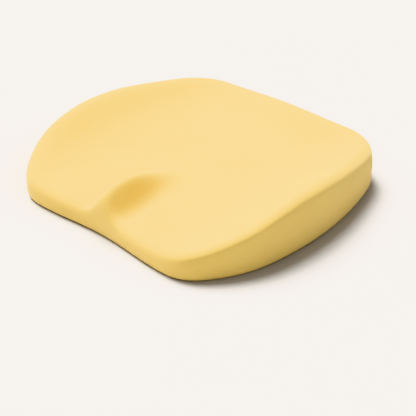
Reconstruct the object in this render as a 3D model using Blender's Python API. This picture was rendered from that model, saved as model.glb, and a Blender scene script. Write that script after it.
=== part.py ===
"""Contoured seat cushion: moulded foam core, inner liner, zipped knit cover and grip base.

Metres, +Z up. The origin is the middle of the underside. +X is the sitter's left-to-right
width, -Y is the front edge with the raised pommel, +Y is the rear edge with the zip.
The tables below are in millimetres and are scaled by MM where geometry is made.
"""

import math

import bmesh
import bpy
import numpy as np

MM = 0.001

# ---- outline of the side wall seen from above: the right half, from the middle of the rear
# edge round to the middle of the front, as one straight and four arcs that meet in line
OUTLINE_CENTRE_Y = -6.0  # places the whole object's box evenly about the origin
REAR_EDGE = 220.5  # from the outline's centre to the rear edge
REAR_HALF = 128.0  # the rear edge is straight this far each side of the middle
# each arc's radius, and the heading it ends at: 0 runs along the rear edge, 180 back along
# the front. They are the rear corner, the bowed side, the front shoulder and front corner
ARCS = ((84.0, 72.0), (545.0, 99.0), (200.0, 130.0), (66.0, 180.0))
NOTCH_DEPTH, NOTCH_HALF = 8.0, 125.0  # the front edge curves in between the thighs

# ---- height of the rim above the floor, without the pommel; angles are from the front
FRONT_HEIGHT, SIDE_HEIGHT, CORNER_HEIGHT, REAR_HEIGHT = 32.5, 82.0, 65.0, 70.0
SIDE_RISE = (24.0, 86.0)
SIDE_FALL = (92.0, 140.0)
# ---- how far the wall leans in from its foot to the rim, less at the front shoulders
WALL_LEAN, SHOULDER_UPRIGHT, SHOULDER_AT, SHOULDER_SPREAD = 6.0, 4.0, 62.0, 20.0
# ---- radius of the rolled edge between wall and top
FRONT_EDGE_R, SIDE_EDGE_R = 7.0, 10.5
EDGE_CHANGE = (40.0, 80.0)
WALL_FOOT = 10.0  # the wall is vertical from here up to PLUMB_SHARE of its height
PLUMB_SHARE = 0.48

# ---- seat pan
PAN_HEIGHT = 44.0
THIGH_DROP = 12.0  # the two thigh channels run down this far to the front edge
DROP_START = -15.0
DROP_LENGTH = 180.0
ROLL_LENGTH = 24.0  # the rim's inner slope dies out over a few of these

# ---- pommel between the thighs; places are y from the outline's centre
POMMEL_RISE = 37.5  # over the pan, at its crest
POMMEL_NOSE = 0.74  # share of that rise already there at the front edge
NOSE_SPAN = (-205.0, -165.0)
TAIL_SPAN = (-150.0, -32.0)  # the crest fades into the pan over this stretch
NOSE_HALF, CREST_HALF, TAIL_HALF = 24.0, 17.5, 22.0  # how wide it is in front, at the crest and at its end
SLIM_SPAN = (-210.0, -188.0)  # where it narrows behind the front edge
WIDEN_SPAN = (-130.0, -50.0)
POMMEL_SHAPE = 2.0  # 2 is a bell, more is a flatter crest with steeper flanks

# ---- layers
COVER_T = 1.6
LINER_GAP, LINER_T = 0.4, 0.6
FOAM_GAP = 0.3
BASE_T = 1.6
BASE_INSET = 6.1
HEM_INSET = 13.0
LINER_HEM = 40.0

# ---- zip in the rear wall; y is counted from the wall's outer face
ZIP_Z = 19.0
SLOT_HALF_X, SLOT_HALF_Z = 118.0, 5.4
TAPE_HALF_X, TAPE_IN, TAPE_OUT = 125.0, 0.8, 9.4
TAPE_Y = (-2.5, -1.9)
COIL_HALF_X, COIL_IN, COIL_OUT = 111.0, 0.6, 2.9
COIL_Y = (-1.6, 0.5)
STOP_LENGTH = 3.2
ZIP_RECESS = 3.2  # room for the slider's rear plate in front of the liner
RECESS_FADE = 34.0
SLIDER_HALF_X, SLIDER_HALF_Z = 5.5, 4.2
PIN_Y = 2.7  # the pull tab's pin, outside the wall
PIN_R = 0.55
TAB_LENGTH = 25.0
THREAD_R = 0.25

# the mesh's columns: angles from the front on one side, then places along the rear edge
COLUMN_SPANS = ((0, 14, 4), (14, 50, 8), (50, 62, 2), (62, 110, 5), (110, 149, 6))
REAR_X = (REAR_HALF, 86.0, 43.0)


def clear_scene():
    for obj in list(bpy.data.objects):
        bpy.data.objects.remove(obj, do_unlink=True)


def ease(t):
    t = np.clip(t, 0, 1)
    return t * t * (3 - 2 * t)


def between(v, span):
    """0 before the span, 1 after it, eased."""
    return ease((v - span[0]) / (span[1] - span[0]))


def half_outline():
    """Points of the outline's right half about its own centre, from rear to front."""
    x, y, heading = REAR_HALF, REAR_EDGE, 0.0
    line = np.linspace(0, REAR_HALF, 60)
    points = [np.stack([line, np.full(60, REAR_EDGE)], axis=1)]
    for radius, end in ARCS:
        h = np.radians(np.linspace(heading, end, 60))
        arc = np.stack([x + radius * (np.sin(h) - math.sin(h[0])),
                        y + radius * (np.cos(h) - math.cos(h[0]))], axis=1)
        points.append(arc[1:])
        (x, y), heading = arc[-1], end
    front = np.linspace(x, 0, 80)[1:]
    dip = NOTCH_DEPTH * np.cos(np.clip(front / NOTCH_HALF, 0, 1) * math.pi / 2) ** 2
    points.append(np.stack([front, y + dip], axis=1))
    return np.concatenate(points)


def ring_spline(table):
    """A smooth closed curve through a table given for one half, mirrored to the other."""
    a = np.array([row[0] for row in table], float)
    v = np.array([row[1] for row in table], float)
    a = np.radians(np.concatenate([a, 360 - a[-2:0:-1]]))
    v = np.concatenate([v, v[-2:0:-1]])
    n = len(a)
    h = np.diff(np.append(a, a[0] + 2 * math.pi))
    m = np.zeros((n, n))
    r = np.zeros(n)
    for i in range(n):
        m[i, i - 1] += h[i - 1]
        m[i, i] += 2 * (h[i - 1] + h[i])
        m[i, (i + 1) % n] += h[i]
        r[i] = 6 * ((v[(i + 1) % n] - v[i]) / h[i] - (v[i] - v[i - 1]) / h[i - 1])
    k = np.linalg.solve(m, r)

    def at(theta):
        t = np.mod(theta, 2 * math.pi)
        i = np.clip(np.searchsorted(a, t, side="right") - 1, 0, n - 1)
        j = (i + 1) % n
        u = t - a[i]
        w = h[i] - u
        return (k[i] * w**3 + k[j] * u**3) / (6 * h[i]) + (
            v[i] / h[i] - k[i] * h[i] / 6
        ) * w + (v[j] / h[i] - k[j] * h[i] / 6) * u

    return at


def polar_outline():
    """The outline's radius by angle: 0 in front, 90 at the sides, 180 behind."""
    points = half_outline()[::-1]
    angle = np.degrees(np.arctan2(points[:, 0], -points[:, 1]))
    radius = np.hypot(points[:, 0], points[:, 1])
    return ring_spline([(a, float(np.interp(a, angle, radius))) for a in range(0, 181, 4)])


radius_at = polar_outline()
REAR_Y = OUTLINE_CENTRE_Y + REAR_EDGE


def turn_of(theta):
    """Angle from the front, 0 to 180 degrees on either side."""
    return np.degrees(np.arccos(np.clip(np.cos(theta), -1, 1)))


def rim_at(theta):
    turn = turn_of(theta)
    return (FRONT_HEIGHT + (SIDE_HEIGHT - FRONT_HEIGHT) * between(turn, SIDE_RISE)
            - (SIDE_HEIGHT - CORNER_HEIGHT) * between(turn, SIDE_FALL)
            + (REAR_HEIGHT - CORNER_HEIGHT) * between(turn, (SIDE_FALL[1], 180.0)))


def lean_at(theta):
    near = (turn_of(theta) - SHOULDER_AT) / SHOULDER_SPREAD
    return WALL_LEAN - SHOULDER_UPRIGHT * np.exp(-(near**2))


def edge_at(theta):
    return FRONT_EDGE_R + (SIDE_EDGE_R - FRONT_EDGE_R) * between(turn_of(theta), EDGE_CHANGE)


def outline(theta):
    """The wall's widest line, exactly straight over the zip."""
    r = radius_at(theta)
    back = np.maximum(-np.cos(theta), 1e-6)
    straight = (back > 0.5) & (REAR_EDGE / back * np.abs(np.sin(theta)) < REAR_HALF)
    r = np.where(straight, REAR_EDGE / back, r)
    return r * np.sin(theta), OUTLINE_CENTRE_Y - r * np.cos(theta)


def outline_normal(theta):
    step = 2e-3
    xa, ya = outline(theta - step)
    xb, yb = outline(theta + step)
    nx, ny = yb - ya, -(xb - xa)
    size = np.hypot(nx, ny)
    return nx / size, ny / size


def pan(y):
    """The seat pan and thigh channels, without rim or pommel."""
    return PAN_HEIGHT - THIGH_DROP * ease((DROP_START - (y - OUTLINE_CENTRE_Y)) / DROP_LENGTH)


def pommel(x, y):
    """How far the pommel stands above the pan."""
    v = y - OUTLINE_CENTRE_Y
    nose = POMMEL_NOSE + (1 - POMMEL_NOSE) * between(v, NOSE_SPAN)
    rise = POMMEL_RISE * nose * (1 - between(v, TAIL_SPAN))
    half = NOSE_HALF + (CREST_HALF - NOSE_HALF) * between(v, SLIM_SPAN)
    half = half + (TAIL_HALF - CREST_HALF) * between(v, WIDEN_SPAN)
    return rise * np.exp(-np.abs(x / half) ** POMMEL_SHAPE)


def stations():
    """The angles of the mesh's columns all the way round."""
    half = []
    for first, last, steps in COLUMN_SPANS:
        half += [math.radians(first + (last - first) * i / steps) for i in range(steps)]
    half += [math.pi - math.atan2(x, REAR_EDGE) for x in REAR_X]
    half.append(math.pi)
    return np.array(half + [2 * math.pi - a for a in reversed(half[1:-1])])


THETA = stations()
COLUMNS = len(THETA)
OX, OY = outline(THETA)
NX, NY = outline_normal(THETA)


def at_inset(d, z):
    """A ring at an inset from the outline and a height."""
    return np.stack([OX - NX * d, OY - NY * d, np.full(COLUMNS, 1.0) * z], axis=1)


def lifted(ring, rim):
    """The ring with the pommel pulled up out of it, more the nearer it is to the rim."""
    x, y, z = ring.T
    w = ease((z - WALL_FOOT) / (rim - WALL_FOOT))
    return np.stack([x, y, z + pommel(x, y) * w], axis=1)


def outer_rings():
    """Rings of the cover's outer face from the wall's foot to near the middle."""
    rim, lean, edge = rim_at(THETA), lean_at(THETA), edge_at(THETA)
    shoulder = rim - edge
    plumb = WALL_FOOT + (shoulder - WALL_FOOT) * PLUMB_SHARE

    def leant(z):
        return lean * (np.clip((z - plumb) / (rim - plumb), 0, 1)) ** 2

    rings = [at_inset(0, WALL_FOOT), at_inset(0, plumb)]
    half = (plumb + shoulder) / 2
    rings.append(lifted(at_inset(leant(half), half), rim))
    for a in np.radians((0, 30, 60, 90)):
        z = shoulder + edge * math.sin(a)
        rings.append(lifted(at_inset(leant(z) + edge * (1 - math.cos(a)), z), rim))
    top = at_inset(lean + edge, rim)
    tx, ty = top[:, 0], top[:, 1] - OUTLINE_CENTRE_Y
    reach = np.hypot(tx, ty)
    rise = rim - pan(top[:, 1])
    inner = [1 - s / reach for s in (10, 24, 44, 72)] + [np.full(COLUMNS, s) for s in (0.48, 0.25)]
    for rho in inner:
        x, y = rho * tx, rho * ty + OUTLINE_CENTRE_Y
        u = (1 - rho) * reach / ROLL_LENGTH
        z = pan(y) + rise * (1 + u) * np.exp(-u) + pommel(x, y)
        rings.append(np.stack([x, y, z], axis=1))
    return rings


RINGS = outer_rings()
CENTRE = np.array([0, OUTLINE_CENTRE_Y, float(pan(OUTLINE_CENTRE_Y))])


def ring_normals():
    """Outward normals of the rings from their neighbours along and across."""
    out = []
    for i, ring in enumerate(RINGS):
        if i < 2:
            out.append(np.stack([NX, NY, np.zeros(COLUMNS)], axis=1))
            continue
        along = np.roll(ring, -1, axis=0) - np.roll(ring, 1, axis=0)
        after = RINGS[i + 1] if i + 1 < len(RINGS) else np.tile(CENTRE, (COLUMNS, 1))
        across = after - RINGS[i - 1]
        n = np.cross(along, across)
        out.append(n / np.linalg.norm(n, axis=1)[:, None])
    return out


NORMALS = ring_normals()
RECESS_X = 1 - ease((np.abs(OX) - REAR_HALF - 8) / RECESS_FADE)
RECESS_X = np.where(OY > 0, RECESS_X, 0)


def layer(depth, foot, recess=0.0):
    """Rings of a face that lies a depth inside the cover's outer face.

    foot holds the (inset, height) rings under the wall, from the bottom up. The recess
    sinks the low rear wall further in, behind the zip.
    """
    rings = [at_inset(d + (recess * RECESS_X if d < LINER_HEM else 0), z) for d, z in foot]
    for i, (ring, n) in enumerate(zip(RINGS, NORMALS)):
        more = recess * RECESS_X if i < 2 else 0
        rings.append(ring - n * (depth + more * np.ones(COLUMNS))[:, None])
    return rings, CENTRE - np.array([0, 0, depth])


# ---- mesh helpers


def material(name, colour, roughness, metallic=0.0):
    m = bpy.data.materials.new(name)
    m.use_nodes = True
    shader = m.node_tree.nodes["Principled BSDF"]
    shader.inputs["Base Color"].default_value = (*colour, 1)
    shader.inputs["Roughness"].default_value = roughness
    shader.inputs["Metallic"].default_value = metallic
    return m


def add_object(name, bm, mat, smooth=True, origin=(0, 0, 0)):
    """Makes the object from a bmesh in millimetres, with its origin where it turns."""
    bmesh.ops.recalc_face_normals(bm, faces=bm.faces)
    for v in bm.verts:
        v.co = (
            (v.co.x - origin[0]) * MM,
            (v.co.y - origin[1]) * MM,
            (v.co.z - origin[2]) * MM,
        )
    mesh = bpy.data.meshes.new(name)
    bm.to_mesh(mesh)
    bm.free()
    if smooth:
        mesh.shade_smooth()
        mesh.set_sharp_from_angle(angle=math.radians(40))
    if mat:
        mesh.materials.append(mat)
    obj = bpy.data.objects.new(name, mesh)
    obj.location = tuple(c * MM for c in origin)
    bpy.context.collection.objects.link(obj)
    return obj


def ring_verts(bm, ring):
    return [bm.verts.new(tuple(float(c) for c in p)) for p in ring]


def bridge(bm, a, b):
    """Joins two rings of columns with triangles that always split the same way."""
    n = len(a)
    for i in range(n):
        j = (i + 1) % n
        bm.faces.new((a[i], a[j], b[j]))
        bm.faces.new((a[i], b[j], b[i]))


def fan(bm, ring, centre):
    c = bm.verts.new(tuple(float(v) for v in centre))
    n = len(ring)
    for i in range(n):
        bm.faces.new((ring[i], ring[(i + 1) % n], c))


def solid_layer(name, rings, centre, mat):
    """A filled body: its bottom is one flat face."""
    bm = bmesh.new()
    vs = [ring_verts(bm, r) for r in rings]
    for a, b in zip(vs, vs[1:]):
        bridge(bm, a, b)
    fan(bm, vs[-1], centre)
    bm.faces.new(list(reversed(vs[0])))
    return add_object(name, bm, mat)


def open_shell(name, outer, outer_centre, inner, inner_centre, mat):
    """A skin that is open underneath: outer and inner faces joined round the opening."""
    bm = bmesh.new()
    out = [ring_verts(bm, r) for r in outer]
    ins = [ring_verts(bm, r) for r in inner]
    for vs, c in ((out, outer_centre), (ins, inner_centre)):
        for a, b in zip(vs, vs[1:]):
            bridge(bm, a, b)
        fan(bm, vs[-1], c)
    bridge(bm, out[0], ins[0])
    return add_object(name, bm, mat)


def box_mesh(lo, hi, bevel=0.0, segments=1):
    bm = bmesh.new()
    bmesh.ops.create_cube(bm, size=1)
    for v in bm.verts:
        v.co = tuple((lo[i] + hi[i]) / 2 + v.co[i] * (hi[i] - lo[i]) for i in range(3))
    if bevel:
        bmesh.ops.bevel(bm, geom=bm.edges[:] + bm.verts[:], offset=bevel, segments=segments,
                        affect="EDGES", clamp_overlap=True)
    return bm


def plate_mesh(points, y0, y1, bevel=0.0, segments=2):
    """A flat plate in the XZ plane with a given outline, its two faces' edges bevelled."""
    bm = bmesh.new()
    face = bm.faces.new([bm.verts.new((x, y0, z)) for x, z in points])
    grown = bmesh.ops.extrude_face_region(bm, geom=[face])
    for v in (g for g in grown["geom"] if isinstance(g, bmesh.types.BMVert)):
        v.co.y = y1
    if bevel:
        rims = [e for e in bm.edges if abs(e.verts[0].co.y - e.verts[1].co.y) < 1e-6]
        bmesh.ops.bevel(bm, geom=rims, offset=bevel, segments=segments, affect="EDGES",
                        clamp_overlap=True)
    return bm


def loop_tube(name, inset, z, radius, mat, sides=6):
    """A cord that runs all the way round at an inset from the outline."""
    bm = bmesh.new()
    turns = [2 * math.pi * k / sides for k in range(sides)]
    rings = [
        ring_verts(bm, at_inset(inset + radius * math.cos(a), z + radius * math.sin(a)))
        for a in turns
    ]
    for i in range(sides):
        bridge(bm, rings[i], rings[(i + 1) % sides])
    return add_object(name, bm, mat)


def straight_rod(x0, x1, y, z, radius, sides=8):
    bm = bmesh.new()
    ends = []
    for x in (x0, x1):
        ends.append([
            bm.verts.new((x, y + radius * math.cos(2 * math.pi * k / sides),
                          z + radius * math.sin(2 * math.pi * k / sides)))
            for k in range(sides)
        ])
    bm.faces.new(ends[0])
    bm.faces.new(list(reversed(ends[1])))
    for i in range(sides):
        j = (i + 1) % sides
        bm.faces.new((ends[0][i], ends[0][j], ends[1][j], ends[1][i]))
    return bm


def helper(obj):
    obj.hide_render = True
    obj.display_type = "WIRE"
    return obj


def boolean(obj, tool, operation):
    m = obj.modifiers.new(operation.lower(), "BOOLEAN")
    m.operation = operation
    m.solver = "EXACT"
    m.object = helper(tool)


# ---- the pieces


def build():
    clear_scene()
    knit = material("cover_knit", (0.96, 0.72, 0.27), 0.9)
    grip = material("base_fabric", (0.62, 0.60, 0.57), 0.85)
    foam = material("memory_foam", (0.93, 0.89, 0.78), 0.95)
    mesh_cloth = material("liner_cloth", (0.90, 0.90, 0.88), 0.9)
    elastic = material("elastic", (0.85, 0.85, 0.83), 0.8)
    thread = material("sewing_thread", (0.93, 0.70, 0.26), 0.7)
    tape = material("zip_tape", (0.93, 0.69, 0.25), 0.85)
    nylon = material("zip_nylon", (0.94, 0.72, 0.30), 0.45)
    metal = material("zip_metal", (0.80, 0.80, 0.80), 0.3, 1.0)
    label = material("label_satin", (0.95, 0.95, 0.93), 0.6)

    # cover: outer knit skin, its hem turned in over the base panel
    outer, outer_mid = layer(0, ((BASE_INSET - 0.3, 0.2), (2.2, 1.6), (0.5, 5.0)))
    inner, inner_mid = layer(
        COVER_T,
        ((BASE_INSET - 0.3, BASE_T + 0.3), (HEM_INSET, BASE_T + 0.3),
         (HEM_INSET, BASE_T + 1.9), (3.6, BASE_T + 1.9), (2.1, 5.6)),
    )
    cover = open_shell("cover_shell", outer, outer_mid, inner, inner_mid, knit)
    slot = box_mesh((-SLOT_HALF_X, REAR_Y - 3, ZIP_Z - SLOT_HALF_Z),
                    (SLOT_HALF_X, REAR_Y + 2, ZIP_Z + SLOT_HALF_Z))
    boolean(cover, add_object("slot_cutter", slot, None, smooth=False), "DIFFERENCE")

    # liner: thin sock round the foam, gathered under it
    depth = COVER_T + LINER_GAP
    outer, outer_mid = layer(depth, ((LINER_HEM, 3.9), (4.4, 3.9), (2.7, 6.1)), ZIP_RECESS)
    inner, inner_mid = layer(
        depth + LINER_T,
        ((LINER_HEM, 3.9 + LINER_T), (4.8, 3.9 + LINER_T), (3.2, 6.5)), ZIP_RECESS)
    open_shell("inner_liner", outer, outer_mid, inner, inner_mid, mesh_cloth)
    loop_tube("liner_elastic", LINER_HEM + 1.4, 3.7, 0.7, elastic)

    # foam core
    rings, mid = layer(depth + LINER_T + FOAM_GAP, ((5.4, 4.9), (3.6, 6.9)), ZIP_RECESS)
    solid_layer("foam_core", rings, mid, foam)

    # base panel, its underside is what the cushion stands on
    bm = bmesh.new()
    low, high = (ring_verts(bm, at_inset(BASE_INSET, z)) for z in (0.0, BASE_T))
    bridge(bm, low, high)
    bm.faces.new(list(reversed(low)))
    bm.faces.new(high)
    add_object("base_panel", bm, grip)
    loop_tube("base_seam_thread", HEM_INSET + 1.0, BASE_T + 1.1, 0.6, thread)

    # care label on the base panel's inner face
    add_object("care_label", box_mesh((112, 140, BASE_T + 0.35), (146, 164, BASE_T + 0.65)),
               label, smooth=False)

    # zip: two tapes, two coils, stops at both ends and the rows of stitching
    for side, name in ((1, "upper"), (-1, "lower")):
        z = sorted((ZIP_Z + side * TAPE_IN, ZIP_Z + side * TAPE_OUT))
        add_object("zipper_tape_" + name,
                   box_mesh((-TAPE_HALF_X, REAR_Y + TAPE_Y[0], z[0]),
                            (TAPE_HALF_X, REAR_Y + TAPE_Y[1], z[1])), tape, smooth=False)
        z = sorted((ZIP_Z + side * COIL_IN, ZIP_Z + side * COIL_OUT))
        add_object("zipper_coil_" + name,
                   box_mesh((-COIL_HALF_X, REAR_Y + COIL_Y[0], z[0]),
                            (COIL_HALF_X, REAR_Y + COIL_Y[1], z[1]), 0.5, 2), nylon)
        add_object("zipper_top_stop_" + name,
                   box_mesh((-COIL_HALF_X - 0.3 - STOP_LENGTH, REAR_Y + COIL_Y[0], z[0] - 0.1),
                            (-COIL_HALF_X - 0.3, REAR_Y + COIL_Y[1] + 0.1, z[1] + 0.1),
                            0.45, 2), metal)
        add_object("zipper_stitch_" + name,
                   straight_rod(-TAPE_HALF_X + 2, TAPE_HALF_X - 2, REAR_Y + 0.3 + THREAD_R,
                                ZIP_Z + side * (SLOT_HALF_Z + 2.0), THREAD_R), thread)
    add_object("zipper_bottom_stop",
               box_mesh((COIL_HALF_X + 0.3, REAR_Y + COIL_Y[0], ZIP_Z - COIL_OUT - 0.1),
                        (COIL_HALF_X + 0.3 + STOP_LENGTH, REAR_Y + COIL_Y[1] + 0.1,
                         ZIP_Z + COIL_OUT + 0.1), 0.45, 2), metal)

    # slider, closed against the top stops; its origin is on its travel line
    xs = -COIL_HALF_X + SLIDER_HALF_X
    place = (xs, REAR_Y, ZIP_Z)
    w, h = SLIDER_HALF_X, SLIDER_HALF_Z
    shape = [(-w, -2.6), (-w + 1.2, -h), (0.6, -h), (w, -3.0), (w, 3.0), (0.6, h),
             (-w + 1.2, h), (-w, 2.6), (-w + 0.9, 0.8), (-w + 0.9, -0.8)]
    front = plate_mesh([(xs + a, ZIP_Z + b) for a, b in shape],
                       REAR_Y + 0.8, REAR_Y + 1.8, 0.25)
    slider = add_object("slider_body", front, metal, origin=place)
    tools = [plate_mesh([(xs + a, ZIP_Z + b) for a, b in shape],
                        REAR_Y - 3.8, REAR_Y - 2.8, 0.25)]
    for side in (1, -1):
        z = sorted((ZIP_Z + side * 3.2, ZIP_Z + side * (h - 0.05)))
        tools.append(box_mesh((xs - 3.9, REAR_Y - 1.6, z[0]), (xs + 0.6, REAR_Y + 1.3, z[1])))
    tools.append(box_mesh((xs - 4.4, REAR_Y - 3.3, ZIP_Z - 0.3),
                          (xs - 2.2, REAR_Y + 1.3, ZIP_Z + 0.3)))
    # staple over the tab's pin
    strap = [(-3.7, 1.5), (-3.7, 3.9), (-3.1, 4.4), (3.1, 4.4), (3.7, 3.9), (3.7, 1.5),
             (2.8, 1.5), (2.8, 3.55), (-2.8, 3.55), (-2.8, 1.5)]
    bm = bmesh.new()
    face = bm.faces.new([bm.verts.new((xs + a, REAR_Y + b, ZIP_Z - 1.1)) for a, b in strap])
    grown = bmesh.ops.extrude_face_region(bm, geom=[face])
    for v in (g for g in grown["geom"] if isinstance(g, bmesh.types.BMVert)):
        v.co.z = ZIP_Z + 1.1
    tools.append(bm)
    for i, bm in enumerate(tools):
        boolean(slider, add_object(f"slider_tool_{i}", bm, None, smooth=False), "UNION")

    # pull tab: a plate with a window round the staple and a pin under it
    pin = (xs, REAR_Y + PIN_Y, ZIP_Z)
    bend = [math.radians(a) for a in range(-90, 91, 22)]
    tip = [(TAB_LENGTH - 3.4 + 3.4 * math.cos(a), 3.4 * math.sin(a)) for a in bend]
    body = [(-0.4, -2.7), (6.4, -2.7), (8.0, -1.9), (14.0, -2.2)] + tip + [
        (14.0, 2.2), (8.0, 1.9), (6.4, 2.7), (-0.4, 2.7)]
    tab = add_object("pull_tab",
                     plate_mesh([(xs + a, ZIP_Z + b) for a, b in body],
                                REAR_Y + PIN_Y - PIN_R, REAR_Y + PIN_Y + PIN_R, 0.15, 1),
                     metal, origin=pin)
    window = box_mesh((xs - 2.0, REAR_Y, ZIP_Z - 1.6), (xs + 5.3, REAR_Y + 6, ZIP_Z + 1.6))
    boolean(tab, add_object("tab_window", window, None, smooth=False), "DIFFERENCE")
    bm = bmesh.new()
    bmesh.ops.create_cone(bm, cap_ends=True, segments=12, radius1=PIN_R - 0.01,
                          radius2=PIN_R - 0.01, depth=4.6)
    for v in bm.verts:
        v.co = (v.co.x + pin[0], v.co.y + pin[1], v.co.z + pin[2])
    boolean(tab, add_object("tab_pin", bm, None, smooth=False), "UNION")
    bm = bmesh.new()
    bmesh.ops.create_cone(bm, cap_ends=True, segments=16, radius1=1.5, radius2=1.5, depth=6)
    for v in bm.verts:
        v.co = (v.co.x + xs + TAB_LENGTH - 3.6, v.co.z + pin[1], v.co.y + ZIP_Z)
    boolean(tab, add_object("tab_eye", bm, None, smooth=False), "DIFFERENCE")


build()
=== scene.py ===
"""Looks of the contoured seat cushion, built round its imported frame.

Metres, +Z up, the same frame as the solids. Shape tables are in millimetres.
"""

import math

import bmesh
import bpy
import numpy as np
from mathutils import Matrix, Vector
from mathutils.kdtree import KDTree


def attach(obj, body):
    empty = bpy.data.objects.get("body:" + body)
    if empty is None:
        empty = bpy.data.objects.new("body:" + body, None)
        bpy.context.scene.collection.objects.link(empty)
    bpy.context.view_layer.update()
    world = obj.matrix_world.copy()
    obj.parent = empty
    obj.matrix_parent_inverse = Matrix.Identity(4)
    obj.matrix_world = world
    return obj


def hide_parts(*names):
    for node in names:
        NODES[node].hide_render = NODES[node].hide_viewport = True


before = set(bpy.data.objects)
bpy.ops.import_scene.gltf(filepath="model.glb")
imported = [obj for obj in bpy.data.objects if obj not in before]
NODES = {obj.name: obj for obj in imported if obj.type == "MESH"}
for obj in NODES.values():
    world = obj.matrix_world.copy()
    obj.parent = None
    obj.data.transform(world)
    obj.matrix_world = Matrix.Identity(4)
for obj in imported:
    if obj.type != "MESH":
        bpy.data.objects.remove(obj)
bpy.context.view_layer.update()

BODY = "cushion"
MM = 0.001
SCENE = bpy.context.scene

# ------------------------------------------------------------------ shape tables

# ---- outline of the side wall seen from above: the right half, from the middle of the rear
# edge round to the middle of the front, as one straight and four arcs that meet in line
OUTLINE_CENTRE_Y = -6.0  # places the whole object's box evenly about the origin
REAR_EDGE = 220.5  # from the outline's centre to the rear edge
REAR_HALF = 128.0  # the rear edge is straight this far each side of the middle
# each arc's radius, and the heading it ends at: 0 runs along the rear edge, 180 back along
# the front. They are the rear corner, the bowed side, the front shoulder and front corner
ARCS = ((84.0, 72.0), (545.0, 99.0), (200.0, 130.0), (66.0, 180.0))
NOTCH_DEPTH, NOTCH_HALF = 8.0, 125.0  # the front edge curves in between the thighs

# ---- height of the rim above the floor, without the pommel; angles are from the front
FRONT_HEIGHT, SIDE_HEIGHT, CORNER_HEIGHT, REAR_HEIGHT = 32.5, 82.0, 65.0, 70.0
SIDE_RISE = (24.0, 86.0)
SIDE_FALL = (92.0, 140.0)
# ---- how far the wall leans in from its foot to the rim, less at the front shoulders
WALL_LEAN, SHOULDER_UPRIGHT, SHOULDER_AT, SHOULDER_SPREAD = 6.0, 4.0, 62.0, 20.0
# ---- radius of the rolled edge between wall and top
FRONT_EDGE_R, SIDE_EDGE_R = 7.0, 10.5
EDGE_CHANGE = (40.0, 80.0)
WALL_FOOT = 10.0  # the wall is vertical from here up to PLUMB_SHARE of its height
PLUMB_SHARE = 0.48

# ---- seat pan
PAN_HEIGHT = 44.0
THIGH_DROP = 12.0  # the two thigh channels run down this far to the front edge
DROP_START = -15.0
DROP_LENGTH = 180.0
ROLL_LENGTH = 24.0  # the rim's inner slope dies out over a few of these

# ---- pommel between the thighs; places are y from the outline's centre
POMMEL_RISE = 37.5  # over the pan, at its crest
POMMEL_NOSE = 0.74  # share of that rise already there at the front edge
NOSE_SPAN = (-205.0, -165.0)
TAIL_SPAN = (-150.0, -32.0)  # the crest fades into the pan over this stretch
NOSE_HALF, CREST_HALF, TAIL_HALF = 24.0, 17.5, 22.0  # how wide it is in front, at the crest and at its end
SLIM_SPAN = (-210.0, -188.0)  # where it narrows behind the front edge
WIDEN_SPAN = (-130.0, -50.0)
POMMEL_SHAPE = 2.0  # 2 is a bell, more is a flatter crest with steeper flanks

COVER_T = 1.6
BASE_T = 1.6
BASE_INSET = 6.1
ZIP_Z = 19.0
SLOT_HALF_X, SLOT_HALF_Z = 118.0, 5.4
TAPE_HALF_X = 125.0
COIL_HALF_X, COIL_IN, COIL_OUT = 111.0, 0.6, 2.9

TOP_RINGS = 72  # rings of the top grid; it has 8 columns for each


def ease(t):
    t = np.clip(t, 0, 1)
    return t * t * (3 - 2 * t)


def between(v, span):
    """0 before the span, 1 after it, eased."""
    return ease((v - span[0]) / (span[1] - span[0]))


def half_outline():
    """Points of the outline's right half about its own centre, from rear to front."""
    x, y, heading = REAR_HALF, REAR_EDGE, 0.0
    line = np.linspace(0, REAR_HALF, 60)
    points = [np.stack([line, np.full(60, REAR_EDGE)], axis=1)]
    for radius, end in ARCS:
        h = np.radians(np.linspace(heading, end, 60))
        arc = np.stack([x + radius * (np.sin(h) - math.sin(h[0])),
                        y + radius * (np.cos(h) - math.cos(h[0]))], axis=1)
        points.append(arc[1:])
        (x, y), heading = arc[-1], end
    front = np.linspace(x, 0, 80)[1:]
    dip = NOTCH_DEPTH * np.cos(np.clip(front / NOTCH_HALF, 0, 1) * math.pi / 2) ** 2
    points.append(np.stack([front, y + dip], axis=1))
    return np.concatenate(points)


def ring_spline(table):
    """A smooth closed curve through a table given for one half, mirrored to the other."""
    a = np.array([row[0] for row in table], float)
    v = np.array([row[1] for row in table], float)
    a = np.radians(np.concatenate([a, 360 - a[-2:0:-1]]))
    v = np.concatenate([v, v[-2:0:-1]])
    n = len(a)
    h = np.diff(np.append(a, a[0] + 2 * math.pi))
    m = np.zeros((n, n))
    r = np.zeros(n)
    for i in range(n):
        m[i, i - 1] += h[i - 1]
        m[i, i] += 2 * (h[i - 1] + h[i])
        m[i, (i + 1) % n] += h[i]
        r[i] = 6 * ((v[(i + 1) % n] - v[i]) / h[i] - (v[i] - v[i - 1]) / h[i - 1])
    k = np.linalg.solve(m, r)

    def at(theta):
        t = np.mod(theta, 2 * math.pi)
        i = np.clip(np.searchsorted(a, t, side="right") - 1, 0, n - 1)
        j = (i + 1) % n
        u = t - a[i]
        w = h[i] - u
        return (k[i] * w**3 + k[j] * u**3) / (6 * h[i]) + (
            v[i] / h[i] - k[i] * h[i] / 6
        ) * w + (v[j] / h[i] - k[j] * h[i] / 6) * u

    return at


def polar_outline():
    """The outline's radius by angle: 0 in front, 90 at the sides, 180 behind."""
    points = half_outline()[::-1]
    angle = np.degrees(np.arctan2(points[:, 0], -points[:, 1]))
    radius = np.hypot(points[:, 0], points[:, 1])
    return ring_spline([(a, float(np.interp(a, angle, radius))) for a in range(0, 181, 4)])


radius_at = polar_outline()
REAR_Y = OUTLINE_CENTRE_Y + REAR_EDGE


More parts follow.
